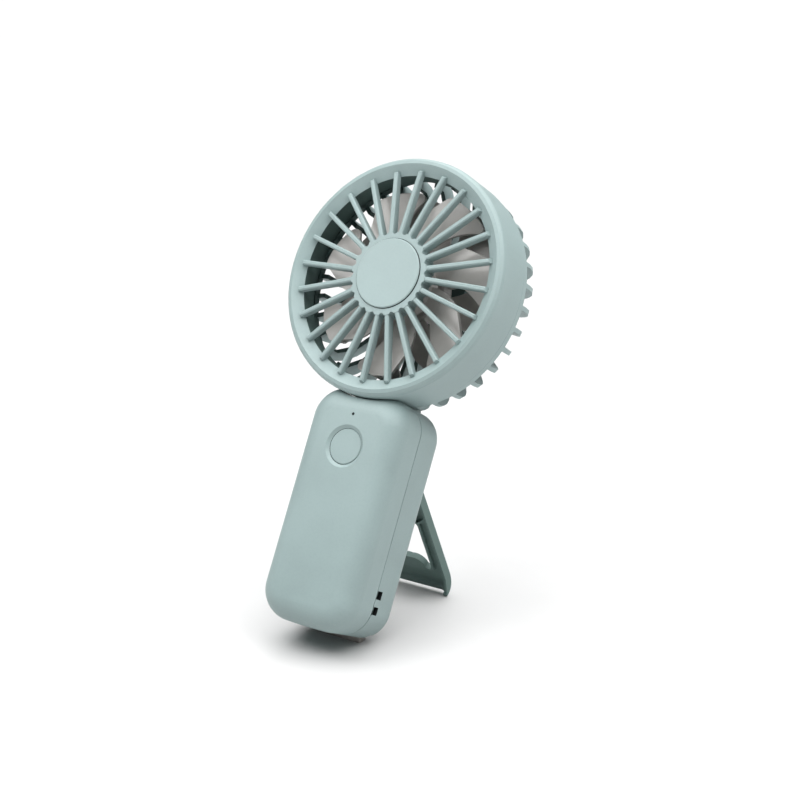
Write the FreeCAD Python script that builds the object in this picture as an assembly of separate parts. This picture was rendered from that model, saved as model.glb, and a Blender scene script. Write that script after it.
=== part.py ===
"""Rechargeable hand fan on a folding rear stand, in millimetres.

The pieces are drawn in the upright frame of the handle: X to the right, Y to the back,
Z up along the handle, with Y = 0 on the handle's front face and Z = 0 on its bottom.
placed() then leans the whole fan back onto its rubber foot and its stand, so that the
origin lies in the middle of the foot's face on the table.
"""
import FreeCAD, Part
import math
import os

from FreeCAD import Vector

# ---- how the fan stands ----
lean_angle = 28.5
stand_open_angle = 54.3

# ---- handle ----
handle_width = 40.0
handle_depth = 32.0
handle_height = 84.6
corner_radius = 10.9
front_round = 7.7
rear_round = 5.6
wall = 1.6
shell_split = 15.7
rebate_depth = 1.6
rebate_gap = 0.1
seam_groove = 0.35

# ---- head and its axis ----
head_radius = 45.0
saddle_depth = 1.9
head_seam = 15.6
lip_round = 2.5
lip_bevels = 3
lip_front = -1.5
lip_slope = 2.5
rim_width = 6.5
duct_depth = 9.0
drum_wall = 1.6

# ---- front grille ----
slat_count = 24
slat_width = 1.7
slat_bevel = 0.4
slat_front = -3.2
slat_drop = 1.8
slat_reach = 1.0
slat_depth = 3.8
slat_end_depth = 2.7
hub_back = 2.6
collar_radius = 15.6
scallop_radius = 1.1
scallop_offset = 0.3
scallop_flats = 8
cap_radius = 13.05
cap_gap = 0.25
cap_rise = 0.7
cap_bevel = 0.35
cap_seat = -2.2
hub_plate = 1.4

# ---- rear grille ----
fin_count = 34
fin_width = 1.7
fin_depth = 4.6
fin_round = 10.0
fin_flats = 5
rear_ring_end = 18.4
rear_ring_step = 0.3
fin_step = 0.25
rear_face = 31.9
rear_hub_radius = 15.0

# ---- motors and impellers ----
motor_radius = 9.5
motor_length = 6.6
motor_nose_radius = 2.9
motor_bevel = 0.8
shaft_radius = 1.0
shaft_fit = 0.04
shaft_grip = 5.4
blade_tip_gap = 3.1
fan_hub_radius = 12.3
fan_hub_wall = 1.2
fan_hub_depth = 6.2
fan_boss_radius = 2.8
fan_gap = 0.6
blade_count = 7
blade_thickness = 1.1
blade_camber = 1.2
blade_span = 19.4
blade_offset = 10.3
blade_rise = 5.6
blade_setback = 1.0
blade_sweep = 33.0
blade_width = 32.0
blade_root_lead = 31.0
blade_bow = 21.0
blade_trail_bow = 16.0
blade_corner = 2.0
front_blade_turn = -20.7
rear_blade_turn = 8.0

# ---- neck hinge ----
neck_half_width = 9.0
neck_slot_half_width = 9.6
neck_barrel_radius = 5.3
neck_gap = 0.35
neck_pin_radius = 1.5
pin_fit = 0.05
pin_seat_gap = 0.02
neck_pin_grip = 4.5
washer_radius = 4.4
washer_gap = 0.04
saddle_gap = 0.7
slot_wall = 1.3
neck_arc = 12.5
neck_wall = 3.4
neck_slope = 45.0

# ---- folding stand ----
stand_pivot_drop = 26.1
stand_pivot_inset = 3.0
stand_half_width = 15.25
stand_skin = 1.5
stand_side_wall = 1.1
stand_side_depth = 3.6
stand_tip_depth = 5.4
stand_tip_length = 3.8
stand_leg_width = 2.0
stand_arch_depth = 2.5
stand_arch_round = 3.0
stand_barrel_radius = 2.45
stand_pin_radius = 0.9
stand_lug_half_width = 6.0
stand_lug_radius = 2.3
stand_lug_gap = 0.3
stand_head_length = 3.2
stand_corner = 1.6
stand_gap = 0.35
window_half_width = 9.2
window_top = 21.5
window_tab = 42.6
window_notch = 46.9
window_notch_radius = 1.6
window_corner = 2.0
window_tab_half = 0.8
window_tab_fall = 0.25
window_rim = 1.2
window_rim_depth = 2.6
brace_width = 1.2
brace_rise = 3.8

# ---- rubber foot ----
foot_half_width = 10.8
foot_drop = 1.72
foot_front_reach = 2.1
foot_rear_reach = 2.3
foot_corner = 0.5

# ---- button, lamp, board ----
button_drop = 20.6
button_radius = 6.55
button_gap = 0.1
button_recess = 0.95
button_dish_radius = 7.85
button_flange_radius = 7.3
button_flange = 0.6
button_travel = 0.5
button_ring_radius = 9.0
button_ring_depth = 2.65
button_spring_gap = 0.05
button_rise = 0.2
button_bevel = 0.3
switch_size = 4.6
switch_plunger_radius = 1.2
switch_plunger = 0.35
lamp_drop = 8.7
lamp_radius = 0.5
lamp_gap = 0.03
board_width = 25.0
board_height = 32.5
board_drop = 5.1
board_thickness = 0.8
board_front = 5.45

# ---- battery ----
cell_radius = 9.15
cell_length = 65.0
cell_bottom = 3.4
cell_centre = 15.75
cell_end_radius = 3.2
cell_end_height = 0.9

# ---- charge socket ----
socket_height = 52.0
socket_depth = 10.6
socket_width = 8.94
socket_thick = 3.2
socket_length = 7.3
socket_skin = 0.3
socket_gap = 0.1
tongue_width = 6.7
tongue_thick = 0.7
socket_board_thickness = 0.8

# ---- strap bar ----
strap_front = 16.1
strap_back = 19.3
strap_lower_bottom = 9.4
strap_lower_top = 12.3
strap_upper_bottom = 15.0
strap_upper_top = 18.0

# ---- case screws ----
screw_side = 12.6
screw_height = 28.0
screw_radius = 1.0
screw_seat_gap = 0.02
screw_head_radius = 1.8
screw_head = 0.9
screw_recess = 0.15
screw_length = 15.0
post_radius = 2.5

# ---- derived places ----
handle_half = handle_width / 2
head_height = handle_height + head_radius - saddle_depth
duct_radius = head_radius - rim_width
fan_radius = duct_radius - blade_tip_gap
stand_pivot_height = handle_height - stand_pivot_drop
button_height = handle_height - button_drop
lamp_height = handle_height - lamp_drop
board_top = handle_height - board_drop
board_bottom = board_top - board_height
neck_axis_depth = handle_depth - rear_round
neck_axis_height = handle_height - rear_round
stand_axis_depth = handle_depth - stand_pivot_inset
button_back = button_ring_depth + button_spring_gap + button_flange
switch_depth = board_front - button_back - button_travel - pin_seat_gap
front_motor_seat = cap_seat + hub_plate
front_hub_start = front_motor_seat + motor_length + fan_gap
rear_motor_seat = rear_face - (cap_seat - slat_front) - hub_plate
rear_hub_start = rear_motor_seat - motor_length - fan_gap
recess_floor = stand_axis_depth + stand_pivot_inset - stand_side_depth - stand_gap
past = 5.0


def box(x0, x1, y0, y1, z0, z1):
    """Block between two corners."""
    return Part.makeBox(x1 - x0, y1 - y0, z1 - z0, Vector(x0, y0, z0))


def rod_x(radius, x0, x1, y, z):
    """Round bar along X."""
    return Part.makeCylinder(radius, x1 - x0, Vector(x0, y, z), Vector(1, 0, 0))


def rod_y(radius, y0, y1, x=0.0, z=0.0):
    """Round bar along Y."""
    return Part.makeCylinder(radius, y1 - y0, Vector(x, y0, z), Vector(0, 1, 0))


def outline(start, steps, point):
    """Closed face from a start, straight steps (end,) and arc steps (middle, end)."""
    edges = []
    here = start
    for step in steps:
        if len(step) == 1:
            edges.append(Part.makeLine(point(*here), point(*step[0])))
        else:
            edges.append(Part.Arc(point(*here), point(*step[0]), point(*step[1])).toShape())
        here = step[-1]
    if here != start:
        edges.append(Part.makeLine(point(*here), point(*start)))
    return Part.Face(Part.Wire(edges))


def arc_point(centre, radius, degrees):
    """Point on a circle."""
    turn = math.radians(degrees)
    return (centre[0] + radius * math.cos(turn), centre[1] + radius * math.sin(turn))


def turned(start, steps):
    """Body of revolution about the Y axis, from an outline of (radius, depth)."""
    face = outline(start, steps, lambda r, y: Vector(r, y, 0))
    return face.revolve(Vector(0, 0, 0), Vector(0, 1, 0), 360)


def side_profile(start, steps, half_width):
    """Outline of (depth, height) made as wide as twice half_width along X."""
    face = outline(start, steps, lambda y, z: Vector(-half_width, y, z))
    return face.extrude(Vector(2 * half_width, 0, 0))


def front_profile(start, steps, y0, y1):
    """Outline of (x, z) made deep from y0 to y1."""
    face = outline(start, steps, lambda x, z: Vector(x, y0, z))
    return face.extrude(Vector(0, y1 - y0, 0))


def rounded_plate(half_width, bottom, top, radius, y0, y1):
    """Plate with four round corners, seen from the front."""
    left = -half_width + radius
    right = half_width - radius
    low = bottom + radius
    high = top - radius
    steps = [
        ((right, bottom),),
        (arc_point((right, low), radius, -45), (half_width, low)),
        ((half_width, high),),
        (arc_point((right, high), radius, 45), (right, top)),
        ((left, top),),
        (arc_point((left, high), radius, 135), (-half_width, high)),
        ((-half_width, low),),
        (arc_point((left, low), radius, 225), (left, bottom)),
    ]
    return front_profile((left, bottom), steps, y0, y1)


def rounded_rim(shape, y, radius):
    """Round the rim of a plate where it meets the plane at depth y."""
    rim = [e for e in shape.Edges if all(abs(v.Y - y) < 1e-6 for v in e.Vertexes)]
    return shape.makeFillet(radius, rim)


def around(shape, count, first=0.0):
    """Equal copies about the head's axis."""
    copies = []
    for k in range(count):
        copy = shape.copy()
        copy.rotate(Vector(0, 0, 0), Vector(0, 1, 0), first + 360.0 * k / count)
        copies.append(copy)
    return copies


def both_sides(shape):
    """A shape and its mirror image across the middle plane."""
    return [shape, shape.mirror(Vector(0, 0, 0), Vector(1, 0, 0))]


def joined(first, others):
    """One solid from pieces that touch or overlap."""
    return first.fuse(others).removeSplitter()


def on_head(shape):
    """Lift a piece drawn about the origin onto the head's axis."""
    shape.translate(Vector(0, 0, head_height))
    return shape


def handle_plate(inset):
    """Handle with round corners but square front and back edges, at a depth below its surface."""
    return rounded_plate(handle_half - inset, inset, handle_height - inset,
                         corner_radius - inset, inset, handle_depth - inset)


def handle_form():
    """Outer form of the handle."""
    form = rounded_rim(handle_plate(0), 0, front_round)
    return rounded_rim(form, handle_depth, rear_round)


def handle_room(inset):
    """Room inside the handle, at least a wall's thickness below its rounded edges."""
    room = handle_plate(inset)
    for depth, size in ((inset, front_round), (handle_depth - inset, rear_round)):
        rim = [e for e in room.Edges if all(abs(v.Y - depth) < 1e-6 for v in e.Vertexes)]
        room = room.makeChamfer((2 - math.sqrt(2)) * (size - inset), rim)
    return room


def saddle_cut(extra):
    """Round channel under the head across the top of the handle."""
    radius = head_radius + saddle_gap + extra
    return rod_y(radius, -past, handle_depth + past, 0, head_height)


def neck_slot(extra):
    """Slot for the neck, open to the top and to the back."""
    half = neck_slot_half_width + extra
    radius = neck_barrel_radius + neck_gap + extra
    top = handle_height + past
    back = handle_depth + past
    front = neck_axis_depth - radius
    middle = (neck_axis_depth, neck_axis_height)
    steps = [
        (arc_point(middle, radius, 225), (neck_axis_depth, neck_axis_height - radius)),
        ((back, neck_axis_height - radius),),
        ((back, top),),
        ((front, top),),
    ]
    return side_profile((front, neck_axis_height), steps, half)


def handle_cavity():
    """Room inside the handle, below the saddle and beside the neck slot."""
    room = handle_room(wall)
    return room.cut([saddle_cut(wall), neck_slot(slot_wall), stand_tray()])


def stand_recess():
    """Recess in the back that takes the folded stand and lets its head turn."""
    half = stand_half_width + stand_gap
    swing = math.hypot(stand_head_length, stand_pivot_inset) + stand_gap
    top = stand_pivot_height + swing
    back = handle_depth + past
    barrel_floor = stand_axis_depth - stand_barrel_radius - stand_gap - stand_gap
    stop = math.radians(stand_open_angle)
    stop_edge = stand_head_length + stand_gap
    inner = stand_pivot_inset - stand_skin
    stop_y = stand_axis_depth - stop_edge * math.sin(stop) + inner * math.cos(stop)
    stop_z = stand_pivot_height + stop_edge * math.cos(stop) + inner * math.sin(stop)
    floor_z = stop_z - (stop_y - barrel_floor) * math.tan(stop)
    steps = [
        ((back, top),),
        ((stop_y + (top - stop_z) / math.tan(stop), top),),
        ((barrel_floor, floor_z),),
        ((barrel_floor, stand_pivot_height - swing + stand_gap),),
        ((recess_floor, stand_pivot_height - swing - stand_gap * 4),),
        ((recess_floor, -past),),
    ]
    pocket = side_profile((back, -past), steps, half)
    tip_half = stand_leg_width + 3 * stand_gap
    tip_floor = handle_depth - stand_tip_depth - stand_gap
    tip_top = stand_pivot_height - stand_reach() + 2 * stand_tip_length + stand_gap
    tip = box(half - tip_half, half, tip_floor, back, -past, tip_top)
    return joined(pocket, both_sides(tip))


def stand_tray():
    """Block of wall that carries the recess inside the rear shell."""
    half = stand_half_width + stand_gap + slot_wall
    swing = math.hypot(stand_head_length, stand_pivot_inset) + stand_gap
    barrel_floor = stand_axis_depth - stand_barrel_radius - 2 * stand_gap
    front = barrel_floor - slot_wall + stand_gap
    hinge_part = box(-half, half, front, handle_depth, stand_pivot_height - swing - 2 * slot_wall,
                     stand_pivot_height + swing + slot_wall)
    long_part = box(-half, half, recess_floor - slot_wall, handle_depth, 0, stand_pivot_height)
    tip_top = stand_pivot_height - stand_reach() + 2 * stand_tip_length + stand_gap + slot_wall
    tip_front = handle_depth - stand_tip_depth - stand_gap - slot_wall
    tip_part = box(-half, half, tip_front, handle_depth, 0, tip_top)
    return joined(hinge_part, [long_part, tip_part])


def make_front_shell():
    """Front half of the handle with its button dish, lamp hole, socket and screw posts."""
    front_half = box(-handle_width, handle_width, -past, shell_split, -past, handle_height + past)
    shell = handle_form().common(front_half)
    room = handle_cavity()
    rebate = handle_plate(wall / 2 - rebate_gap / 2)
    rebate_front = shell_split - rebate_depth - rebate_gap
    rebate = rebate.common(box(-handle_width, handle_width, rebate_front, handle_depth, -past,
                               handle_height + past))
    rebate = rebate.cut([saddle_cut(wall)])
    shell = shell.cut([room, rebate, saddle_cut(0)])
    posts = []
    for x in (-screw_side, screw_side):
        posts.append(rod_y(post_radius, wall / 2, shell_split, x, screw_height))
    ring = rod_y(button_ring_radius, wall / 2, button_ring_depth, 0, button_height)
    shell = joined(shell, posts + [ring])
    dish = turned((0, -past), [((button_dish_radius + past, -past),), ((button_dish_radius, 0),),
                               ((button_radius + button_gap, button_recess),), ((0, button_recess),)])
    dish.translate(Vector(0, 0, button_height))
    button_hole = rod_y(button_radius + button_gap, -past, past, 0, button_height)
    cuts = [dish, button_hole, rod_y(lamp_radius + lamp_gap, -past, past, 0, lamp_height)]
    for x in (-screw_side, screw_side):
        cuts.append(rod_y(screw_radius + screw_seat_gap, shell_split - screw_length, shell_split + past,
                          x, screw_height))
    cuts.append(socket_form(socket_gap, -handle_half - past, -handle_half + past))
    return shell.cut(cuts)


def make_rear_shell():
    """Back half of the handle: stand recess, neck slot, strap bar and screw seats."""
    rear_half = box(-handle_width, handle_width, shell_split, handle_depth + past, -past,
                    handle_height + past)
    form = handle_form()
    shell = form.common(rear_half)
    lip_band = box(-handle_width, handle_width, shell_split - rebate_depth, shell_split, -past,
                   handle_height + past)
    lip = handle_plate(wall / 2 + rebate_gap / 2).common(lip_band).cut([saddle_cut(wall)])
    shell = shell.fuse([lip])
    groove = handle_plate(0).cut([handle_plate(seam_groove)])
    groove = groove.common(box(-handle_width, handle_width, shell_split, shell_split + seam_groove,
                               -past, handle_height + past))
    shell = shell.cut([handle_cavity(), groove])
    posts = [rod_y(post_radius, shell_split, recess_floor, x, screw_height)
             for x in (-screw_side, screw_side)]
    boss_end = neck_slot_half_width + neck_pin_grip + slot_wall
    bosses = both_sides(rod_x(neck_barrel_radius - wall, neck_slot_half_width, boss_end, neck_axis_depth,
                              neck_axis_height).common(form))
    shell = joined(shell, posts + bosses)
    lug = stand_lug()
    shell = shell.cut([stand_recess(), neck_slot(0), saddle_cut(0)])
    shell = joined(shell, [lug.common(form)])
    cuts = [neck_pin_form(pin_seat_gap), stand_pin_form(pin_seat_gap)]
    for x in (-screw_side, screw_side):
        cuts.append(rod_y(screw_radius + screw_seat_gap, 0, handle_depth, x, screw_height))
        cuts.append(rod_y(screw_head_radius + rebate_gap, recess_floor - screw_head - screw_recess,
                          handle_depth, x, screw_height))
    for low, high in ((strap_lower_bottom, strap_lower_top), (strap_upper_bottom, strap_upper_top)):
        cuts.append(box(handle_half - wall - past, handle_half + past, strap_front, strap_back, low, high))
    return shell.cut(cuts)


def socket_form(gap, x0, x1):
    """Flat oval of the charge socket, along X."""
    half = socket_thick / 2 + gap
    straight = (socket_width - socket_thick) / 2
    low = socket_height - straight
    high = socket_height + straight
    body = box(x0, x1, socket_depth - half, socket_depth + half, low, high)
    return joined(body, [rod_x(half, x0, x1, socket_depth, low), rod_x(half, x0, x1, socket_depth, high)])


def make_charge_socket():
    """Metal sleeve of the charge socket with its tongue."""
    mouth = -handle_half + socket_gap
    end = mouth + socket_length
    sleeve = socket_form(0, mouth, end).cut([socket_form(-socket_skin, mouth - past, end - socket_skin)])
    tongue = box(mouth + 2 * socket_skin, end - socket_skin / 2, socket_depth - tongue_thick / 2,
                 socket_depth + tongue_thick / 2, socket_height - tongue_width / 2,
                 socket_height + tongue_width / 2)
    return joined(sleeve, [tongue])


def make_socket_board():
    """Small board that carries the charge socket."""
    front = socket_depth + socket_thick / 2
    half = socket_width / 2 + 1.5 * socket_board_thickness
    return box(-handle_half + wall + 3 * socket_gap, -cell_radius - wall, front,
               front + socket_board_thickness, socket_height - half, socket_height + half)


def make_power_button():
    """Round push button with a flange behind the front wall."""
    flange_front = button_ring_depth + button_spring_gap
    flange_back = flange_front + button_flange
    face = button_recess - button_rise
    head = bevelled(rod_y(button_radius, face, flange_front), button_bevel, face)
    flange = rod_y(button_flange_radius, flange_front, flange_back)
    button = joined(head, [flange])
    button.translate(Vector(0, 0, button_height))
    return button


def make_button_switch():
    """Tact switch behind the button."""
    half = switch_size / 2
    body = box(-half, half, board_front - switch_depth + switch_plunger, board_front,
               button_height - half, button_height + half)
    plunger = rod_y(switch_plunger_radius, board_front - switch_depth, board_front - switch_plunger, 0,
                    button_height)
    return joined(body, [plunger])


def make_indicator_lens():
    """Light pipe from the lamp to the pin hole in the front."""
    return rod_y(lamp_radius, wall / 4, board_front - wall, 0, lamp_height)


def make_indicator_lamp():
    """Lamp chip on the board behind the light pipe."""
    return box(-2 * lamp_radius, 2 * lamp_radius, board_front - wall, board_front,
               lamp_height - lamp_radius, lamp_height + lamp_radius)


def make_circuit_board():
    """Control board behind the front wall."""
    return box(-board_width / 2, board_width / 2, board_front, board_front + board_thickness,
               board_bottom, board_top)


def make_battery_cell():
    """Round rechargeable cell with its raised end."""
    can = Part.makeCylinder(cell_radius, cell_length, Vector(0, cell_centre, cell_bottom))
    tip = Part.makeCylinder(cell_end_radius, cell_end_height,
                            Vector(0, cell_centre, cell_bottom + cell_length))
    return joined(can, [tip])


def make_cell_holder():
    """Two cradles that hold the cell in the case."""
    saddle_height = 3 * wall
    inner = cell_radius + screw_recess
    outer = inner + wall
    cradles = []
    for low in (cell_bottom + 2 * wall, cell_bottom + cell_length / 2 - wall):
        base = Vector(0, cell_centre, low)
        ring = Part.makeCylinder(outer, saddle_height, base)
        ring = ring.cut(Part.makeCylinder(inner, 3 * saddle_height, base - Vector(0, 0, saddle_height)))
        cradles.append(ring.common(box(-outer, outer, cell_centre - cell_radius / 2,
                                       cell_centre + cell_radius / 2, 0, handle_height)))
    return Part.makeCompound(cradles)


def neck_pin_form(extra):
    """Steel pin of the neck hinge, or the hole for it."""
    end = neck_slot_half_width + neck_pin_grip + extra
    return rod_x(neck_pin_radius + extra, -end, end, neck_axis_depth, neck_axis_height)


def make_neck_washers():
    """Friction washers on each side of the neck."""
    inner = neck_pin_radius + pin_fit
    ring = rod_x(washer_radius, neck_half_width + washer_gap, neck_slot_half_width - washer_gap,
                 neck_axis_depth, neck_axis_height)
    ring = ring.cut([rod_x(inner, 0, handle_width, neck_axis_depth, neck_axis_height)])
    return Part.makeCompound(both_sides(ring))


def stand_pin_form(extra):
    """Steel pin of the stand hinge, or the hole for it."""
    end = stand_half_width + stand_gap + slot_wall + extra
    return rod_x(stand_pin_radius + extra, -end, end, stand_axis_depth, stand_pivot_height)


def stand_lug():
    """Middle knuckle on the case that the stand's pin passes through."""
    half = stand_lug_half_width
    knuckle = rod_x(stand_lug_radius, -half, half, stand_axis_depth, stand_pivot_height)
    root = box(-half, half, recess_floor - 2 * slot_wall, stand_axis_depth,
               stand_pivot_height - stand_lug_radius, stand_pivot_height + stand_lug_radius)
    return joined(knuckle, [root])


def table_below_handle():
    """Distance of the table under the handle's bottom front edge, square to the table."""
    lean = math.radians(lean_angle)
    middle = -neck_axis_depth * math.sin(lean) + rear_round * math.cos(lean)
    return rear_round + foot_drop - middle


def stand_reach():
    """Length from the stand's pivot to its tips, so that the tips meet the table."""
    lean = math.radians(lean_angle)
    tilt = math.radians(stand_open_angle - lean_angle)
    pivot = -stand_axis_depth * math.sin(lean) + stand_pivot_height * math.cos(lean)
    tip_offset = stand_pivot_inset - stand_tip_depth
    return (pivot + table_below_handle() + tip_offset * math.sin(tilt)) / math.cos(tilt)


def stand_window():
    """Window of the stand, with a rounded tab between two corner notches at its low end."""
    top = stand_pivot_height - window_top
    tab = stand_pivot_height - window_tab
    notch = stand_pivot_height - window_notch
    r = window_notch_radius
    c = window_corner
    w = window_half_width
    foot = w - 2 * r
    shoulder = (foot, notch + r)
    knee = foot * window_tab_half
    knee_height = tab - (tab - notch) * window_tab_fall
    steps = [
        ((w - c, top),),
        (arc_point((w - c, top - c), c, 45), (w, top - c)),
        ((w, notch + r),),
        (arc_point((w - r, notch + r), r, -90), shoulder),
        ((knee, knee_height), (0, tab)),
        ((-knee, knee_height), (-foot, notch + r)),
        (arc_point((-w + r, notch + r), r, -90), (-w, notch + r)),
        ((-w, top - c),),
        (arc_point((-w + c, top - c), c, 135), (-w + c, top)),
    ]
    return front_profile((-w + c, top), steps, 0, handle_depth + past)


def folded_stand():
    """Stand as it lies in the back of the handle."""
    low = stand_pivot_height - stand_reach() - stand_gap
    high = stand_pivot_height + stand_head_length
    edge = stand_side_depth
    outer = handle_form().common(rounded_plate(stand_half_width, low, high, stand_corner,
                                                handle_depth - stand_tip_depth, handle_depth + past))
    inner = handle_room(stand_skin).common(
        box(-stand_half_width + stand_side_wall, stand_half_width - stand_side_wall,
            0, handle_depth, -past, high + past))
    tray = outer.cut([inner])
    shoulder = stand_pivot_height - stand_reach() + stand_tip_length
    free = handle_depth - edge
    deep = handle_depth - stand_tip_depth
    relief = side_profile((0, high + past), [((free, high + past),), ((free, shoulder + stand_tip_length),),
                                             ((deep, low + stand_tip_length / 2),), ((0, low),)],
                          handle_width)
    tray = tray.cut([relief, stand_arch()])
    rim_back = handle_depth - stand_skin / 2
    rim_front = handle_depth - window_rim_depth
    rim = rounded_plate(window_half_width + window_rim, stand_pivot_height - window_notch - window_rim,
                        stand_pivot_height - window_top + window_rim, window_corner + window_rim,
                        rim_front, rim_back)
    braces = both_sides(stand_brace())
    barrel = rod_x(stand_barrel_radius, stand_lug_half_width + stand_lug_gap, stand_half_width,
                   stand_axis_depth, stand_pivot_height)
    neck = box(stand_lug_half_width + stand_lug_gap, stand_half_width, stand_axis_depth,
               handle_depth - stand_skin / 2, stand_pivot_height - stand_barrel_radius,
               stand_pivot_height + stand_barrel_radius)
    stand = joined(tray, [rim] + braces + both_sides(barrel) + both_sides(neck))
    notch = box(-stand_lug_half_width - stand_lug_gap, stand_lug_half_width + stand_lug_gap, 0,
                handle_depth + past, stand_pivot_height - stand_lug_radius - 2 * stand_lug_gap,
                high + past)
    bore = rod_x(stand_pin_radius + pin_fit, -handle_width, handle_width, stand_axis_depth,
                 stand_pivot_height)
    return stand.cut([stand_window(), notch, bore])


def stand_arch():
    """Clear space between the two tips, round in its inner corners."""
    half = stand_half_width - stand_leg_width
    back = handle_depth - stand_arch_depth
    space = box(-half, half, 0, back, -past, stand_pivot_height - window_notch - 2 * window_rim)
    corners = [e for e in space.Edges if all(abs(v.Y - back) < 1e-6 for v in e.Vertexes)
               and abs(e.Vertexes[0].Z - e.Vertexes[1].Z) > 1]
    return space.makeFillet(stand_arch_round, corners)


def stand_brace():
    """Slanting rib from the window's upper corner to the side wall."""
    inner = window_half_width + window_rim / 2
    outer = stand_half_width - stand_side_wall / 2
    low = stand_pivot_height - window_top - window_rim / 2
    high = low + brace_rise
    return front_profile((inner, low), [((outer, high),), ((outer, high + brace_width),),
                                        ((inner, low + brace_width),)],
                         handle_depth - stand_side_depth + stand_gap, handle_depth - stand_skin / 2)


def make_kickstand():
    """Stand swung open on its pivot, its tips cut flat where they meet the table."""
    stand = folded_stand()
    stand.rotate(Vector(0, stand_axis_depth, stand_pivot_height), Vector(1, 0, 0), stand_open_angle)
    table = box(-handle_width, handle_width, 0, 4 * handle_width, -handle_width, 0)
    return stand.cut([unplaced(table)])


def make_rubber_foot():
    """Soft wedge under the rear edge, flat on the table."""
    lean = math.radians(lean_angle)
    lowest = (neck_axis_depth + rear_round * math.sin(lean) + foot_drop * math.sin(lean),
              rear_round - (rear_round + foot_drop) * math.cos(lean))
    front = (lowest[0] - foot_front_reach * math.cos(lean), lowest[1] - foot_front_reach * math.sin(lean))
    rear = (lowest[0] + foot_rear_reach * math.cos(lean), lowest[1] + foot_rear_reach * math.sin(lean))
    top = stand_pivot_height - stand_reach() - 2 * stand_gap
    front_top = (front[0] - (wall - front[1]) * math.tan(lean), wall)
    rear_top = (rear[0] - (top - rear[1]) * math.tan(lean), top)
    steps = [(front_top,), ((recess_floor, wall),), ((recess_floor, top),), (rear_top,), (rear,)]
    wedge = side_profile(front, steps, foot_half_width)
    upright = [e for e in wedge.Edges if is_foot_corner(e, front, rear)]
    wedge = wedge.makeFillet(foot_corner, upright)
    body = handle_form().common(box(-handle_half, handle_half, 0, recess_floor, -past, handle_height))
    return wedge.cut([body])


def is_foot_corner(edge, front, rear):
    """True for the short edges that stand on the foot's four corners."""
    ends = [(v.Y, v.Z) for v in edge.Vertexes]
    if len(ends) < 2 or abs(edge.Vertexes[0].X - edge.Vertexes[1].X) > 1e-6:
        return False
    return any(math.dist(end, corner) < 1e-6 for end in ends for corner in (front, rear)) and \
        not all(any(math.dist(end, corner) < 1e-6 for corner in (front, rear)) for end in ends)


def make_case_screws():
    """Screws that draw the two halves of the handle together."""
    screws = []
    head_back = recess_floor - screw_recess
    for x in (-screw_side, screw_side):
        z = screw_height
        shank = rod_y(screw_radius, shell_split - screw_length + wall, head_back - screw_head / 2, x, z)
        head = rod_y(screw_head_radius, head_back - screw_head, head_back, x, z)
        slot = box(x - screw_head_radius / 1.5, x + screw_head_radius / 1.5, head_back - screw_head / 2,
                   head_back + past, z - screw_recess, z + screw_recess)
        cross = box(x - screw_recess, x + screw_recess, head_back - screw_head / 2, head_back + past,
                    z - screw_head_radius / 1.5, z + screw_head_radius / 1.5)
        screws.append(joined(head, [shank]).cut([slot, cross]))
    return Part.makeCompound(screws)


def make_front_grille():
    """Front half of the head: rim, drum wall, straight slats and scalloped collar."""
    lip_centre = (head_radius - lip_round, lip_front + lip_round)
    lip = [(arc_point(lip_centre, lip_round, -90.0 * k / lip_bevels),) for k in range(lip_bevels + 1)]
    steps = lip + [
        ((duct_radius, lip_front + lip_slope),),
        ((duct_radius, duct_depth - drum_wall),),
        ((head_radius - drum_wall, duct_depth),),
        ((head_radius - drum_wall, head_seam),),
        ((head_radius - 2 * rear_ring_step, head_seam),),
    ]
    rim = turned((head_radius, head_seam - seam_groove), steps)
    slats = around(grille_slat(), slat_count, 0)
    hub = rod_y(collar_radius, slat_front, hub_back)
    middle = (collar_radius + scallop_offset, 0)
    corners = [arc_point(middle, scallop_radius, 360.0 * k / scallop_flats)
               for k in range(scallop_flats)]
    scallop = front_profile(corners[0], [(corner,) for corner in corners[1:]], slat_front, hub_back)
    hub = hub.cut(around(scallop, slat_count, 180.0 / slat_count))
    grille = joined(rim, slats + [hub])
    cuts = [
        rod_y(cap_radius + cap_gap, slat_front - past, cap_seat),
        rod_y(cap_radius, front_motor_seat, hub_back + past),
    ]
    return on_head(grille.cut(cuts))


def grille_slat():
    """One straight slat from the collar onto the rim's slope, its front edges bevelled."""
    inner = cap_radius + 2 * cap_gap
    tip = duct_radius + slat_reach
    root = tip + slat_reach
    half = slat_width / 2
    end_front = slat_front + slat_drop
    end_back = end_front + slat_end_depth
    face = outline((inner, slat_front), [((tip, end_front),), ((root, end_front + slat_drop),),
                                         ((root, end_back),), ((inner, slat_front + slat_depth),)],
                   lambda r, y: Vector(r, y, -half))
    slat = face.extrude(Vector(0, 0, slat_width))
    front_edges = [e for e in slat.Edges if is_slat_front(e)]
    return slat.makeChamfer(slat_bevel, front_edges)


def is_slat_front(edge):
    """True for the two long front edges of a slat."""
    low, high = sorted((v.X, v.Y) for v in edge.Vertexes)
    return abs(low[1] - slat_front) < 1e-6 and abs(high[1] - slat_front - slat_drop) < 1e-6


def bevelled(disc, size, depth):
    """Bevel the round edge that a disc along Y has at one depth."""
    rim = [e for e in disc.Edges if isinstance(e.Curve, Part.Circle) and abs(e.Vertexes[0].Y - depth) < 1e-6]
    return disc.makeChamfer(size, rim)


def make_centre_cap(seat, outward):
    """Disc with a bevelled rim over the hub; outward is -1 for the front and 1 for the rear."""
    face = seat + outward * (cap_seat - slat_front + cap_rise)
    return bevelled(rod_y(cap_radius, *sorted((seat, face))), cap_bevel, face)


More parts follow.
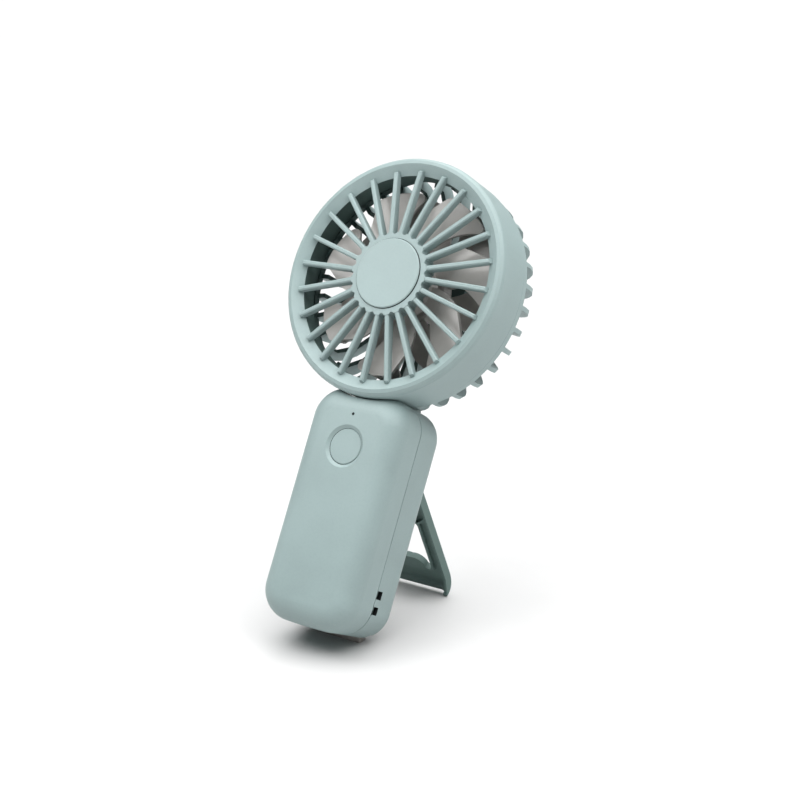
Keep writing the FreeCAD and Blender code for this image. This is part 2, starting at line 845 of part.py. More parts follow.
def make_motor(seat, outward):
    """Motor can with a bearing nose and a bore for the shaft."""
    body_end = seat - outward * motor_length
    low, high = sorted((seat, body_end))
    can = bevelled(rod_y(motor_radius, low, high), motor_bevel, body_end)
    nose = rod_y(motor_nose_radius, *sorted((body_end, body_end - outward * fan_gap / 2)))
    bore = rod_y(shaft_radius + shaft_fit, *sorted((seat - outward * motor_length / 3,
                                                    body_end - outward * past)))
    return joined(can, [nose]).cut([bore])


def make_shaft(seat, outward):
    """Steel shaft from the motor into the impeller."""
    start = seat - outward * (motor_length / 3 + fan_gap / 2)
    end = seat - outward * (motor_length + fan_gap + shaft_grip)
    return rod_y(shaft_radius, *sorted((start, end)))


def blade_section(centre_depth, hand):
    """Thin curved section of a blade, square to its sweep."""
    lead = Vector(0, centre_depth - blade_rise / 2, hand * (blade_offset + blade_span / 2))
    trail = Vector(0, centre_depth + blade_rise / 2, hand * (blade_offset - blade_span / 2))
    across = (trail - lead).cross(Vector(hand, 0, 0))
    across.normalize()
    middle = (lead + trail) * 0.5
    upper = middle + across * (blade_camber + blade_thickness / 2)
    lower = middle + across * (blade_camber - blade_thickness / 2)
    edge = across * (blade_thickness / 2)
    return Part.Wire([
        Part.Arc(lead + edge, upper, trail + edge).toShape(),
        Part.makeLine(trail + edge, trail - edge),
        Part.Arc(trail - edge, lower, lead - edge).toShape(),
        Part.makeLine(lead - edge, lead + edge),
    ])


def blade_outline(hand, y0, y1):
    """Front view of one blade: swept back from the hub, with two round corners at its tip."""
    root = fan_hub_radius - fan_hub_wall
    middle = (root + fan_radius) / 2
    polar = [(root, blade_root_lead), (middle, blade_bow), (fan_radius, 0),
             (fan_radius, -blade_width / 2), (fan_radius, -blade_width),
             (middle, -blade_trail_bow), (root, blade_root_lead - blade_width)]
    points = [arc_point((0, 0), radius, hand * degrees) for radius, degrees in polar]
    steps = [(points[1], points[2]), (points[3], points[4]), (points[5], points[6])]
    petal = front_profile(points[0], steps, y0, y1)
    tips = [e for e in petal.Edges
            if all(abs(math.hypot(v.X, v.Z) - fan_radius) < 1e-6 for v in e.Vertexes)
            and abs(e.Vertexes[0].Y - e.Vertexes[1].Y) > 1]
    return petal.makeFillet(blade_corner, tips)


def make_impeller(hub_start, hand, first):
    """Hub cup with wide swept blades."""
    hub_end = hub_start + fan_hub_depth
    centre = hub_start + fan_hub_depth / 2 + blade_setback
    sheet = Part.Face(blade_section(centre, hand)).extrude(Vector(fan_radius + fan_hub_wall, 0, 0))
    sheet.rotate(Vector(0, 0, 0), Vector(0, 1, 0), hand * blade_sweep)
    blade = sheet.common(blade_outline(hand, centre - fan_hub_depth, centre + fan_hub_depth))
    cup = bevelled(rod_y(fan_hub_radius, hub_start, hub_end), fan_hub_wall / 2, hub_end)
    hollow = rod_y(fan_hub_radius - fan_hub_wall, hub_start - past, hub_end - fan_hub_wall)
    blades = [copy.cut([hollow]) for copy in around(blade, blade_count, first)]
    hollow = hollow.cut([rod_y(fan_boss_radius, hub_start, hub_end)])
    fan = joined(cup.cut([hollow]), blades)
    return fan.cut([rod_y(shaft_radius + screw_seat_gap, hub_start - past, hub_start + shaft_grip + pin_fit)])


def make_rear_impeller():
    """Second impeller, turned to face the first, with blades of the other hand."""
    fan = make_impeller(0, -1, rear_blade_turn)
    fan = fan.mirror(Vector(0, 0, 0), Vector(0, 1, 0))
    fan.translate(Vector(0, rear_hub_start, 0))
    return on_head(fan)


def rear_fin():
    """One radial fin that runs back from the ring and curves in over the rear face."""
    half = fin_width / 2
    outer = head_radius - rear_ring_step - fin_step
    inner = head_radius - rear_ring_step - fin_depth
    start = head_seam + rebate_depth
    bend = (outer - fin_round, rear_face - fin_round)
    root = rear_hub_radius - fin_width / 2
    corner = [(arc_point(bend, fin_round, 90.0 * k / fin_flats),) for k in range(fin_flats + 1)]
    steps = corner + [
        ((root, rear_face),),
        ((root, rear_face - fin_depth),),
        ((bend[0], rear_face - fin_depth),),
        ((inner, bend[1]),),
        ((inner, start),),
    ]
    face = outline((outer, start), steps, lambda r, y: Vector(r, y, -half))
    return face.extrude(Vector(0, 0, fin_width))


def make_rear_grille():
    """Rear half of the head: seam ring, radial fins, hub and the neck of the hinge."""
    outer = head_radius - rear_ring_step
    inner = outer - drum_wall
    ring = turned((outer, head_seam), [((outer, rear_ring_end),), ((inner, rear_ring_end),),
                                       ((inner, head_seam),)])
    hub = rod_y(rear_hub_radius, rear_face - fin_depth, rear_face)
    grille = ring.fuse(around(rear_fin(), fin_count) + [hub])
    cuts = [
        rod_y(cap_radius + cap_gap, rear_motor_seat + hub_plate, rear_face + past),
        rod_y(motor_radius + rebate_gap, 0, rear_motor_seat),
    ]
    grille = on_head(grille.cut(cuts)).fuse([neck()])
    cuts = [rod_x(neck_pin_radius + pin_fit, -handle_width, handle_width, neck_axis_depth,
                  neck_axis_height)]
    return grille.cut(cuts)


def neck():
    """Hinge barrel and the solid part of the drum that it grows from."""
    outer = head_radius - rear_ring_step
    inner = outer - neck_wall
    bend = rear_face - fin_round
    half_arc = math.radians(neck_arc)
    band = turned((inner, head_seam), [((outer, head_seam),), ((outer, bend),),
                                       (arc_point((outer - fin_round, bend), fin_round, neck_slope),),
                                       ((inner - fin_step, rear_face - fin_depth),)])
    reach = head_radius * math.sin(half_arc)
    band = band.common(box(-reach, reach, -past, handle_depth + past, -head_radius - past,
                           -head_radius / 2))
    band = on_head(band)
    barrel = rod_x(neck_barrel_radius, -neck_half_width, neck_half_width, neck_axis_depth,
                   neck_axis_height)
    block = box(-neck_half_width, neck_half_width, neck_axis_depth - neck_barrel_radius,
                neck_axis_depth + neck_barrel_radius / 2, neck_axis_height,
                head_height - outer + neck_wall)
    block = block.cut([rod_y(outer - neck_wall / 2, -past, handle_depth + past, 0, head_height)])
    return joined(barrel, [block, band])


def unplaced(shape):
    """Move a shape from the table's frame to the upright frame of the handle."""
    shape.translate(Vector(0, origin_depth(), -table_below_handle()))
    shape.rotate(Vector(0, 0, 0), Vector(1, 0, 0), lean_angle)
    return shape


def origin_depth():
    """Distance along the table from the leant handle's corner to the middle of the foot."""
    lean = math.radians(lean_angle)
    lowest = neck_axis_depth * math.cos(lean) + rear_round * math.sin(lean)
    return lowest + (foot_rear_reach - foot_front_reach) / 2


def placed(shape):
    """Lean a finished piece back and set it on the table."""
    shape.rotate(Vector(0, 0, 0), Vector(1, 0, 0), -lean_angle)
    shape.translate(Vector(0, -origin_depth(), table_below_handle()))
    return shape


def make_pieces():
    """Every piece by its name, in the upright frame of the handle."""
    return {
        "front_shell": make_front_shell(),
        "rear_shell": make_rear_shell(),
        "power_button": make_power_button(),
        "button_switch": make_button_switch(),
        "indicator_lens": make_indicator_lens(),
        "indicator_lamp": make_indicator_lamp(),
        "circuit_board": make_circuit_board(),
        "battery_cell": make_battery_cell(),
        "cell_holder": make_cell_holder(),
        "charge_socket": make_charge_socket(),
        "socket_board": make_socket_board(),
        "rubber_foot": make_rubber_foot(),
        "case_screws": make_case_screws(),
        "kickstand": make_kickstand(),
        "stand_pin": stand_pin_form(0),
        "neck_pin": neck_pin_form(0),
        "neck_washers": make_neck_washers(),
        "front_grille": make_front_grille(),
        "front_cap": on_head(make_centre_cap(cap_seat, -1)),
        "front_motor": on_head(make_motor(front_motor_seat, -1)),
        "front_shaft": on_head(make_shaft(front_motor_seat, -1)),
        "front_impeller": on_head(make_impeller(front_hub_start, 1, front_blade_turn)),
        "rear_grille": make_rear_grille(),
        "rear_cap": on_head(make_centre_cap(rear_motor_seat + hub_plate, 1)),
        "rear_motor": on_head(make_motor(rear_motor_seat, 1)),
        "rear_shaft": on_head(make_shaft(rear_motor_seat, 1)),
        "rear_impeller": make_rear_impeller(),
    }


def main():
    """Write one STEP file for each piece."""
    os.makedirs("parts", exist_ok=True)
    for name, shape in make_pieces().items():
        placed(shape).exportStep("parts/" + name + ".step")


main()
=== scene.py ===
"""Looks of the hand fan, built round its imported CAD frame. Metres, +Z up, foot on the floor."""

import math

import bmesh
import bpy
from mathutils import Matrix, Vector


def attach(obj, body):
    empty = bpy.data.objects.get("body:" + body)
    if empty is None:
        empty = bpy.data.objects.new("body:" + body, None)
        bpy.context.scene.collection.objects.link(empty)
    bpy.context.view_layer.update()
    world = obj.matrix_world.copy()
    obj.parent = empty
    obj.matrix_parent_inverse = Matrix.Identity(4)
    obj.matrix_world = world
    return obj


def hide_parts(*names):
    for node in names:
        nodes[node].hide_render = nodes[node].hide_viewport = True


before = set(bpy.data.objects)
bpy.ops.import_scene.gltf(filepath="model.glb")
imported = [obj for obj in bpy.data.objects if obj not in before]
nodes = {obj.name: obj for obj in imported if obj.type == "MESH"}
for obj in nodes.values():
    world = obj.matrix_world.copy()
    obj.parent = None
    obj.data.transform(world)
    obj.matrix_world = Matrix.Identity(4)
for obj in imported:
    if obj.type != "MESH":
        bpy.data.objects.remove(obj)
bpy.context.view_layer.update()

MM = 0.001

# ---- the grip's own frame: width along world X, depth front to back, height along the grip ----
LEAN = math.radians(28.5)
GRIP_ORIGIN = Vector((0.0, -0.025973, 0.014996))
GRIP_BACK = Vector((0.0, math.cos(LEAN), -math.sin(LEAN)))
GRIP_UP = Vector((0.0, math.sin(LEAN), math.cos(LEAN)))

# Places in that frame, in mm. A pair is a range; STAND_OUTWARD is a direction in depth and height.
FAN_HEIGHT = 127.7
BUTTON_HEIGHT = 64.0
LAMP_HEIGHT = 75.9
CAP_GAP = (13.0, 13.4)
BUTTON_GAP = (6.5, 6.7)
LAMP_HOLE = (0.4, 0.6)
HEAD_SEAM = 15.6
SEAM_HALF_WIDTHS = (0.14, 0.36)
DUCT_FRONT = 2.0
DUCT_RADIUS = 43.9
SADDLE_RADII = (45.3, 47.0)
STRAP_WIDTHS = (16.0, 19.9)
STRAP_DEPTHS = (15.9, 19.4)
STRAP_HEIGHTS = ((9.3, 12.4), (14.9, 18.1))
STAND_OUTWARD = (0.57, 0.82)

# How the skins of the grip depart from the flat solids, in mm. A pair is a range over which a
# shift comes in or fades out.
MOST_SHIFT = 0.95
BULGE_HALF_WIDTH = 19.0
BULGE_TOP = 14.0
BULGE_DEPTHS = (11.0, 20.0)
BULGE_CUTS = (3.5, 7.0, 10.5, BULGE_TOP)
STRIP_WIDTH = 2
STRIPS_EACH_SIDE = 9
HEAD_CLEAR_RADIUS = 45.15
RISE_HEIGHTS = (71.0, 82.5)
RISE_FRONT = (0.0, 7.0)
RISE_BACK = (13.0, 18.0)

# Colours, linear, and how edge wear with painted highlight and the painted shade of the seam change
# them.
CASE = (0.272, 0.352, 0.350)
CASE_IN_SHADE = (0.105, 0.165, 0.152)
DUCT_IN_SHADE = (0.07, 0.115, 0.107)
BLADE = (0.43, 0.415, 0.395)
RUBBER = (0.40, 0.37, 0.35)
RUBBER_DUSTY = (0.48, 0.445, 0.425)
RUBBER_PALE = (0.55, 0.52, 0.50)
SHARP_POINTINESS = (0.505, 0.56)
WEAR_AND_HIGHLIGHT_STRENGTH = 0.18
SEAM_SHADE_FACTOR = 0.3


def in_grip(vector):
    """Components along the grip's width, depth and height."""
    return vector.x, vector.dot(GRIP_BACK), vector.dot(GRIP_UP)


def within(value, limits):
    """Whether a value lies between two limits."""
    return limits[0] < value < limits[1]


def times(colour, factor):
    """Colour made darker or lighter by a factor."""
    return tuple(c * factor for c in colour)


def grey(level):
    """Neutral colour of one level."""
    return (level, level, level)


# ---- node helpers ----
def new_material(name):
    """Node material with a bare Principled shader; returns it, its node tree and the shader."""
    mat = bpy.data.materials.new(name)
    mat.use_nodes = True
    tree = mat.node_tree
    tree.nodes.clear()
    out = tree.nodes.new("ShaderNodeOutputMaterial")
    shader = tree.nodes.new("ShaderNodeBsdfPrincipled")
    tree.links.new(shader.outputs["BSDF"], out.inputs["Surface"])
    return mat, tree, shader


def place(tree, scale=(1, 1, 1)):
    """Object coordinates, in metres, scaled along each axis; below 1 draws a pattern out."""
    coord = tree.nodes.new("ShaderNodeTexCoord")
    mapping = tree.nodes.new("ShaderNodeMapping")
    mapping.inputs["Scale"].default_value = scale
    tree.links.new(coord.outputs["Object"], mapping.inputs["Vector"])
    return mapping.outputs["Vector"]


def noise(tree, vector, size, detail=3.0, rough=0.55):
    """Noise whose lumps are about size metres across."""
    node = tree.nodes.new("ShaderNodeTexNoise")
    node.inputs["Scale"].default_value = 1.0 / size
    node.inputs["Detail"].default_value = detail
    node.inputs["Roughness"].default_value = rough
    tree.links.new(vector, node.inputs["Vector"])
    return node.outputs["Fac"]


def spread(tree, value, onto, of=(0.3, 0.7)):
    """Map a value from one range onto another; from noise's usual range unless told otherwise."""
    node = tree.nodes.new("ShaderNodeMapRange")
    node.inputs["From Min"].default_value, node.inputs["From Max"].default_value = of
    node.inputs["To Min"].default_value, node.inputs["To Max"].default_value = onto
    tree.links.new(value, node.inputs["Value"])
    return node.outputs["Result"]


def ramp(tree, value, stops):
    """Colour ramp from (position, colour) stops."""
    node = tree.nodes.new("ShaderNodeValToRGB")
    band = node.color_ramp
    while len(band.elements) < len(stops):
        band.elements.new(0.5)
    for element, (position, colour) in zip(band.elements, stops):
        element.position = position
        element.color = (*colour, 1.0)
    tree.links.new(value, node.inputs["Fac"])
    return node.outputs["Color"]


def mixed(tree, fac, a, b, mode="MIX"):
    """Mix two colours; the factor and each colour may be a socket or a value."""
    node = tree.nodes.new("ShaderNodeMix")
    node.data_type = "RGBA"
    node.blend_type = mode
    for name, value in (("Factor", fac), ("A", a), ("B", b)):
        socket = [s for s in node.inputs if s.name == name and s.enabled][0]
        if isinstance(value, bpy.types.NodeSocket):
            tree.links.new(value, socket)
        else:
            socket.default_value = (*value, 1.0) if isinstance(value, tuple) else value
    return [s for s in node.outputs if s.enabled][0]


def bumped(tree, shader, layers):
    """Stack bump layers of (height socket, distance in metres, strength) into the shader."""
    normal = None
    for height, distance, strength in layers:
        node = tree.nodes.new("ShaderNodeBump")
        node.inputs["Strength"].default_value = strength
        node.inputs["Distance"].default_value = distance
        tree.links.new(height, node.inputs["Height"])
        if normal is not None:
            tree.links.new(normal, node.inputs["Normal"])
        normal = node.outputs["Normal"]
    tree.links.new(normal, shader.inputs["Normal"])


def edge_wear_and_highlight(tree):
    """0 on flats, rising to WEAR_AND_HIGHLIGHT_STRENGTH on sharp outer edges; the lighter edges are
    partly rubbed wear and partly painted highlight.
    """
    geometry = tree.nodes.new("ShaderNodeNewGeometry")
    sharpness = spread(tree, geometry.outputs["Pointiness"], (0.0, 1.0), of=SHARP_POINTINESS)
    return spread(tree, sharpness, (0.0, WEAR_AND_HIGHLIGHT_STRENGTH), of=(0.0, 1.0))


def seam_shade_line(tree):
    """1 on the thin line round the head where its two halves meet, falling to 0 beside it; this is
    where the painted shade of the parting groove goes.
    """
    coord = tree.nodes.new("ShaderNodeTexCoord")
    depth = tree.nodes.new("ShaderNodeVectorMath")
    depth.operation = "DOT_PRODUCT"
    depth.inputs[1].default_value = GRIP_BACK
    tree.links.new(coord.outputs["Object"], depth.inputs[0])
    middle = GRIP_ORIGIN.dot(GRIP_BACK) + HEAD_SEAM * MM
    dark, clear = (half_width * MM for half_width in SEAM_HALF_WIDTHS)
    both = tree.nodes.new("ShaderNodeMath")
    both.operation = "MULTIPLY"
    for socket, side in zip(both.inputs, (-1, 1)):
        flank = (middle + side * clear, middle + side * dark)
        tree.links.new(spread(tree, depth.outputs["Value"], (0.0, 1.0), of=flank), socket)
    return both.outputs["Value"]


# ---- materials ----
def case_plastic(name, colour, rough=0.48, specular=0.42, seam=False):
    """Matt moulded plastic: spark-eroded grain, faint flow shades, lighter edges that are partly
    rubbed wear and partly painted highlight.
    """
    mat, tree, shader = new_material(name)
    at = place(tree)
    cloud = noise(tree, at, 22 * MM, detail=2.0)
    speck = noise(tree, at, 0.9 * MM, detail=4.0)
    shades = [(0.35, times(colour, 0.955)), (0.5, colour), (0.68, times(colour, 1.035))]
    base = ramp(tree, cloud, shades)
    speckle = ramp(tree, speck, [(0.30, (0.965, 0.97, 0.97)), (0.55, grey(1.0))])
    base = mixed(tree, 1.0, base, speckle, "MULTIPLY")
    # Lighter sharp edges: partly rubbed wear, partly painted highlight.
    worn_and_lit = tuple(c * 1.16 + 0.02 for c in colour)
    base = mixed(tree, edge_wear_and_highlight(tree), base, worn_and_lit)
    # Painted shade: a thin dark line where the groove between the head's two halves lies.
    if seam:
        base = mixed(tree, seam_shade_line(tree), base, times(colour, SEAM_SHADE_FACTOR))
    tree.links.new(base, shader.inputs["Base Color"])
    tree.links.new(spread(tree, cloud, (rough - 0.05, rough + 0.06)), shader.inputs["Roughness"])
    grain = noise(tree, at, 0.22 * MM, detail=2.0, rough=0.6)
    waves = noise(tree, at, 7 * MM, detail=1.0)
    bumped(tree, shader, [(grain, 0.012 * MM, 0.55), (waves, 0.05 * MM, 0.25)])
    shader.inputs["Specular IOR Level"].default_value = specular
    return mat


def blade_plastic():
    """Satin moulded blades with faint flow shades."""
    mat, tree, shader = new_material("blade_plastic")
    at = place(tree)
    cloud = noise(tree, at, 12 * MM)
    base = ramp(tree, cloud, [(0.32, times(BLADE, 0.93)), (0.5, BLADE), (0.7, times(BLADE, 1.05))])
    tree.links.new(base, shader.inputs["Base Color"])
    tree.links.new(spread(tree, noise(tree, at, 3 * MM), (0.28, 0.40)), shader.inputs["Roughness"])
    bumped(tree, shader, [(noise(tree, at, 0.5 * MM), 0.006 * MM, 0.4), (cloud, 0.04 * MM, 0.3)])
    shader.inputs["Coat Weight"].default_value = 0.35
    shader.inputs["Coat Roughness"].default_value = 0.2
    return mat


def rubber():
    """Pale warm grey moulded rubber with a dusty bloom."""
    mat, tree, shader = new_material("foot_rubber")
    at = place(tree)
    dust = noise(tree, at, 2.5 * MM, detail=5.0)
    base = ramp(tree, dust, [(0.35, RUBBER), (0.62, RUBBER_DUSTY), (0.8, RUBBER_PALE)])
    tree.links.new(base, shader.inputs["Base Color"])
    tree.links.new(spread(tree, dust, (0.68, 0.88)), shader.inputs["Roughness"])
    bumped(tree, shader, [(noise(tree, at, 0.3 * MM, detail=2.0), 0.02 * MM, 0.6)])
    return mat


def metal(name, colour, rough, scale):
    """Turned or drawn metal, with fine lines along the axis that is scaled down."""
    mat, tree, shader = new_material(name)
    lines = noise(tree, place(tree, scale), 0.5 * MM)
    tarnish = noise(tree, place(tree), 4 * MM)
    base = ramp(tree, tarnish, [(0.3, times(colour, 0.8)), (0.62, colour)])
    tree.links.new(base, shader.inputs["Base Color"])
    tree.links.new(spread(tree, lines, (rough - 0.08, rough + 0.1)), shader.inputs["Roughness"])
    shader.inputs["Metallic"].default_value = 1.0
    bumped(tree, shader, [(lines, 0.008 * MM, 0.5)])
    return mat


def plain(name, colour, rough, mottle_size, coat=0.0):
    """Small inner plastic or board surface with mottling and fine grain."""
    mat, tree, shader = new_material(name)
    at = place(tree)
    mottle = noise(tree, at, mottle_size)
    base = ramp(tree, mottle, [(0.3, times(colour, 0.85)), (0.68, colour)])
    tree.links.new(base, shader.inputs["Base Color"])
    tree.links.new(spread(tree, mottle, (rough - 0.05, rough + 0.07)), shader.inputs["Roughness"])
    shader.inputs["Coat Weight"].default_value = coat
    grain = noise(tree, at, mottle_size / 6, detail=2.0)
    bumped(tree, shader, [(grain, 0.01 * MM, 0.5)])
    return mat


def assign(mat, *names):
    """Give whole CAD nodes one material."""
    for name in names:
        mesh = nodes[name].data
        mesh.materials.clear()
        mesh.materials.append(mat)


assign(case_plastic("case_plastic", CASE), "front_shell", "rear_shell", "power_button", "kickstand")
assign(case_plastic("cap_plastic", times(CASE, 1.04), rough=0.44), "front_cap", "rear_cap")
# Painted shade: a darker copy of the case plastic for the saddle under the head and the stand's
# inner and side faces.
shaded = case_plastic("shaded_plastic", CASE_IN_SHADE, rough=0.6)
assign(case_plastic("head_plastic", CASE, seam=True), "front_grille", "rear_grille")
assign(blade_plastic(), "front_impeller", "rear_impeller")
assign(rubber(), "rubber_foot")
nylon = plain("washer_nylon", (0.7, 0.7, 0.68), rough=0.4, mottle_size=1 * MM)
assign(nylon, "neck_washers", "cell_holder")
switch = plain("switch_black", grey(0.03), rough=0.45, mottle_size=1 * MM)
assign(switch, "button_switch")
lamp = plain("lamp_chip", (0.85, 0.82, 0.6), rough=0.3, mottle_size=0.4 * MM, coat=0.3)
assign(lamp, "indicator_lamp")
board = plain("board_green", (0.02, 0.12, 0.05), rough=0.35, mottle_size=2 * MM, coat=0.4)
assign(board, "circuit_board", "socket_board")
sleeve = plain("cell_sleeve", (0.08, 0.2, 0.42), rough=0.3, mottle_size=6 * MM, coat=0.2)
assign(sleeve, "battery_cell")
turned_steel = metal("steel_turned", (0.62, 0.62, 0.64), rough=0.28, scale=(0.1, 1, 1))
assign(turned_steel, "case_screws", "stand_pin", "neck_pin", "front_shaft", "rear_shaft")
drawn_steel = metal("steel_drawn", (0.5, 0.51, 0.53), rough=0.34, scale=(1, 0.1, 0.1))
assign(drawn_steel, "front_motor", "rear_motor", "charge_socket")
# Painted shade: near-black case plastic for the walls of gaps, holes and strap slots, and for the
# lamp's lens seen deep in its hole.
gap_shade = case_plastic("gap_shade", times(CASE, 0.06), rough=0.8, specular=0.15)
assign(gap_shade, "indicator_lens")
# Painted shade for the inside of the head: its duct wall and the forward faces behind it.
duct_shade = case_plastic("duct_shade", DUCT_IN_SHADE, rough=0.7)


# ---- painted shade: darker faces where little light gets in ----
def shade(mat, name, inside):
    """Give a material to the faces of a node that pass a test.

    The test takes a face's middle, in mm, and its normal, both in the grip's frame.
    """
    node = nodes[name]
    slot = len(node.data.materials)
    node.data.materials.append(mat)
    turn_to_world = node.matrix_world.to_3x3()
    for face in node.data.polygons:
        middle = [c / MM for c in in_grip(node.matrix_world @ face.center - GRIP_ORIGIN)]
        if inside(middle, in_grip(turn_to_world @ face.normal)):
            face.material_index = slot


def ring_wall(height, radii):
    """Test for the walls of a ring gap or hole round an axis through the grip's depth."""
    def inside(middle, normal):
        radius = math.hypot(middle[0], middle[2] - height)
        return within(radius, radii) and abs(normal[1]) < 0.3
    return inside


def round_fan(middle, normal):
    """Radius round the fan's axis, in mm, and how far a normal points at the axis, at most 1."""
    height = middle[2] - FAN_HEIGHT
    radius = math.hypot(middle[0], height)
    return radius, -(middle[0] * normal[0] + height * normal[2]) / max(radius, 1.0)


def duct_wall(middle, normal):
    """Test for the inside of the head: its wall and what faces forward behind it."""
    radius, inward = round_fan(middle, normal)
    return middle[1] > DUCT_FRONT and radius < DUCT_RADIUS and (inward > 0.2 or normal[1] < -0.5)


def saddle(middle, normal):
    """Test for the hollow on top of the grip that the head rests over."""
    radius, inward = round_fan(middle, normal)
    return within(radius, SADDLE_RADII) and inward > 0.9


def stand_inside(middle, normal):
    """Test for all of the open stand but its outer face, which looks back and up."""
    return STAND_OUTWARD[0] * normal[1] + STAND_OUTWARD[1] * normal[2] < 0.5


def strap_slot(middle, normal):
    """Test for the walls of the two strap slots."""
    in_slot = any(within(middle[2], heights) for heights in STRAP_HEIGHTS)
    return in_slot and within(middle[0], STRAP_WIDTHS) and within(middle[1], STRAP_DEPTHS)


for name in ("front_cap", "front_grille", "rear_cap", "rear_grille"):
    shade(gap_shade, name, ring_wall(FAN_HEIGHT, CAP_GAP))
for name in ("power_button", "front_shell"):
    shade(gap_shade, name, ring_wall(BUTTON_HEIGHT, BUTTON_GAP))
shade(gap_shade, "front_shell", ring_wall(LAMP_HEIGHT, LAMP_HOLE))
shade(gap_shade, "rear_shell", strap_slot)
# Painted shade inside the head.
for name in ("front_grille", "rear_grille"):
    shade(duct_shade, name, duct_wall)
# Painted shade on the saddle under the head and on the open stand's inner and side faces.
for name in ("front_shell", "rear_shell"):
    shade(shaded, name, saddle)
shade(shaded, "kickstand", stand_inside)


# ---- skins of the grip, with the crowned bottom and close-fitting top that the solids lack ----
def ease(value, low, high):
    """Smooth step from 0 at low to 1 at high."""
    t = min(1.0, max(0.0, (value - low) / (high - low)))
    return t * t * (3.0 - 2.0 * t)


def crowned(point):
    """Shift of a shell's point: the bottom bulges straight down, the top is drawn to the head."""
    x, y, z = (c / MM for c in in_grip(point - GRIP_ORIGIN))
    across = max(0.0, 1.0 - (x / BULGE_HALF_WIDTH) ** 2)
    down = MOST_SHIFT * across * (1.0 - ease(z, 0.0, BULGE_TOP)) * (1.0 - ease(y, *BULGE_DEPTHS))
    radius = math.hypot(x, z - FAN_HEIGHT)
    reach = MOST_SHIFT * ease(z, *RISE_HEIGHTS) * ease(y, *RISE_FRONT) * (1.0 - ease(y, *RISE_BACK))
    lift = min(reach, max(0.0, radius - HEAD_CLEAR_RADIUS)) / radius
    return (Vector((-lift * x, 0.0, -down)) + GRIP_UP * (lift * (FAN_HEIGHT - z))) * MM


def cut(form, faces, through, across):
    """Split faces along a plane."""
    parts = {*faces, *(e for f in faces for e in f.edges), *(v for f in faces for v in f.verts)}
    bmesh.ops.bisect_plane(form, geom=list(parts), dist=1e-7, plane_co=through, plane_no=across)


def skin_over(name):
    """Finer copy of a shell with its points shifted; it stands for the node."""
    mesh = nodes[name].data.copy()
    form = bmesh.new()
    form.from_mesh(mesh)
    for height in BULGE_CUTS:
        cut(form, form.faces[:], GRIP_ORIGIN + GRIP_UP * (height * MM), GRIP_UP)
    for strip in range(-STRIPS_EACH_SIDE, STRIPS_EACH_SIDE + 1):
        low = [f for f in form.faces
               if (f.calc_center_median() - GRIP_ORIGIN).dot(GRIP_UP) < BULGE_TOP * MM]
        cut(form, low, (strip * STRIP_WIDTH * MM, 0, 0), (1, 0, 0))
    for vert in form.verts:
        vert.co += crowned(vert.co)
    form.to_mesh(mesh)
    form.free()
    piece = bpy.data.objects.new(name + "_skin", mesh)
    bpy.context.scene.collection.objects.link(piece)
    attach(piece, "handle")
    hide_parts(name)
    return piece


skins = [skin_over(name) for name in ("front_shell", "rear_shell")]

# ---- curved faces smooth, real edges crisp ----
SHARP_ANGLE = math.radians(32)
for node in [*nodes.values(), *skins]:
    mesh = node.data
    mesh.polygons.foreach_set("use_smooth", [True] * len(mesh.polygons))
    mesh.set_sharp_from_angle(angle=SHARP_ANGLE)
    weighted = node.modifiers.new("weighted_normals", "WEIGHTED_NORMAL")
    weighted.mode = "FACE_AREA_WITH_ANGLE"
    weighted.weight = 60
    weighted.keep_sharp = True
    mesh.update()

# ---- floor, and a pale wall far behind it that only the camera sees ----
FLOOR_SIZE = 12.0
WALL_RADIUS = 5.8
WALL_DEPTH = 6.0
WALL_MIDDLE = 2.9

floor_mat, tree, shader = new_material("floor_paper")
tone = noise(tree, place(tree), 40 * MM)
paper = ramp(tree, tone, [(0.3, grey(0.55)), (0.7, grey(0.575))])
tree.links.new(paper, shader.inputs["Base Color"])
tree.links.new(spread(tree, tone, (0.75, 0.85)), shader.inputs["Roughness"])
bpy.ops.mesh.primitive_plane_add(size=FLOOR_SIZE, location=(0, 0, 0))
floor = bpy.context.object
floor.name = "floor"
floor.data.materials.append(floor_mat)

wall_mat, tree, shader = new_material("wall_paper")
tone = noise(tree, place(tree), 800 * MM)
paper = ramp(tree, tone, [(0.3, grey(0.97)), (0.7, grey(1.0))])
tree.links.new(paper, shader.inputs["Emission Color"])
shader.inputs["Emission Strength"].default_value = 1.0
shader.inputs["Base Color"].default_value = (0.0, 0.0, 0.0, 1.0)
bpy.ops.mesh.primitive_cylinder_add(vertices=96, radius=WALL_RADIUS, depth=WALL_DEPTH,
                                    end_fill_type="NOTHING", location=(0, 0, WALL_MIDDLE))
wall = bpy.context.object
wall.name = "wall"
wall.data.materials.append(wall_mat)
wall.visible_diffuse = wall.visible_glossy = wall.visible_transmission = wall.visible_shadow = False

# ---- light ----
LIT_MIDDLE = Vector((0.0, 0.0, 0.12))

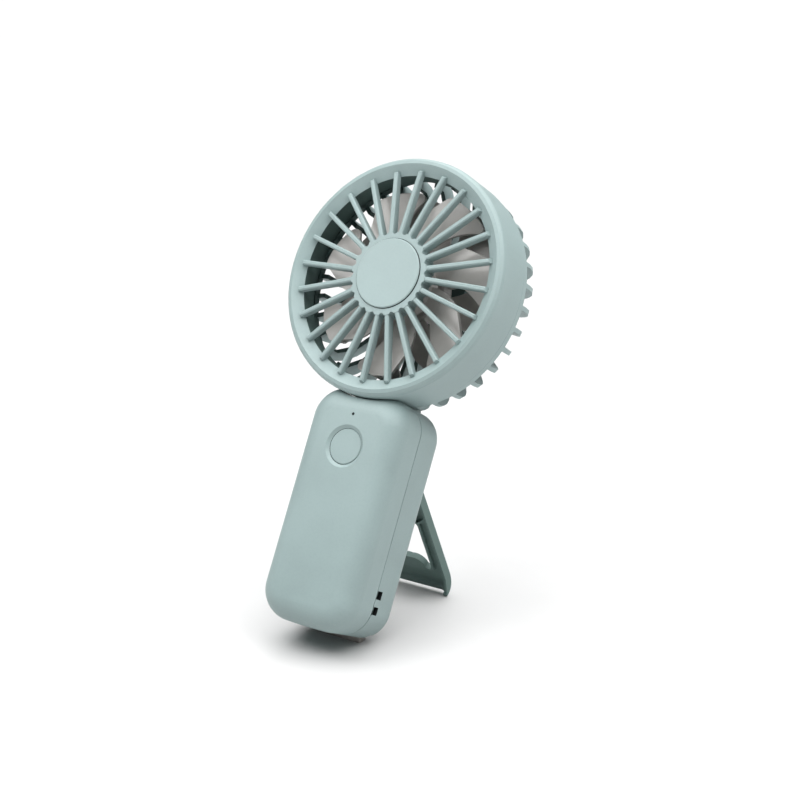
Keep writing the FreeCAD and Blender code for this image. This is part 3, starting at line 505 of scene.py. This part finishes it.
world = bpy.data.worlds.new("studio")
bpy.context.scene.world = world
world.use_nodes = True
background = world.node_tree.nodes["Background"]
background.inputs["Color"].default_value = (1.0, 1.0, 1.0, 1.0)
background.inputs["Strength"].default_value = 0.08


def turned_light(name, data, towards):
    """Light object that shines back along a direction, hidden from the camera."""
    light = bpy.data.objects.new(name, data)
    bpy.context.scene.collection.objects.link(light)
    light.rotation_mode = "QUATERNION"
    light.rotation_quaternion = Vector(towards).to_track_quat("Z", "Y")
    light.visible_camera = False
    return light


def sun(name, towards, strength, degrees):
    """Light from a patch of sky of that many degrees, in the direction towards."""
    data = bpy.data.lights.new(name, "SUN")
    data.energy = strength
    data.angle = math.radians(degrees)
    turned_light(name, data, towards)


def softbox(name, at, size, power):
    """Square light near the object, facing the middle of it."""
    data = bpy.data.lights.new(name, "AREA")
    data.shape = "SQUARE"
    data.size = size
    data.energy = power
    light = turned_light(name, data, Vector(at) - LIT_MIDDLE)
    light.location = at


sun("overhead", towards=(0.0, 0.05, 1.0), strength=5.1, degrees=90)
sun("back", towards=(-0.3, 1.0, 0.8), strength=0.6, degrees=40)
softbox("front_left", at=(-0.10, -0.12, 0.25), size=0.12, power=0.21)
softbox("right", at=(0.35, 0.0, 0.40), size=0.3, power=0.70)

# ---- camera, at the photograph's place ----
CAMERA_PLACE = Vector((0.31944, -0.42871, 0.25298))
CAMERA_FORWARD = Vector((-0.5387, 0.7900, -0.2928)).normalized()

camera = bpy.data.cameras.new("camera")
camera.sensor_width = 36.0
camera.lens = 72.0
camera.clip_start = 0.02
camera.clip_end = 50.0
camera_object = bpy.data.objects.new("camera", camera)
bpy.context.scene.collection.objects.link(camera_object)
right = CAMERA_FORWARD.cross(Vector((0, 0, 1))).normalized()
up = right.cross(CAMERA_FORWARD)
turn = Matrix((right, up, -CAMERA_FORWARD)).transposed()
camera_object.matrix_world = Matrix.Translation(CAMERA_PLACE) @ turn.to_4x4()
bpy.context.scene.camera = camera_object
bpy.context.scene.view_settings.view_transform = "Standard"
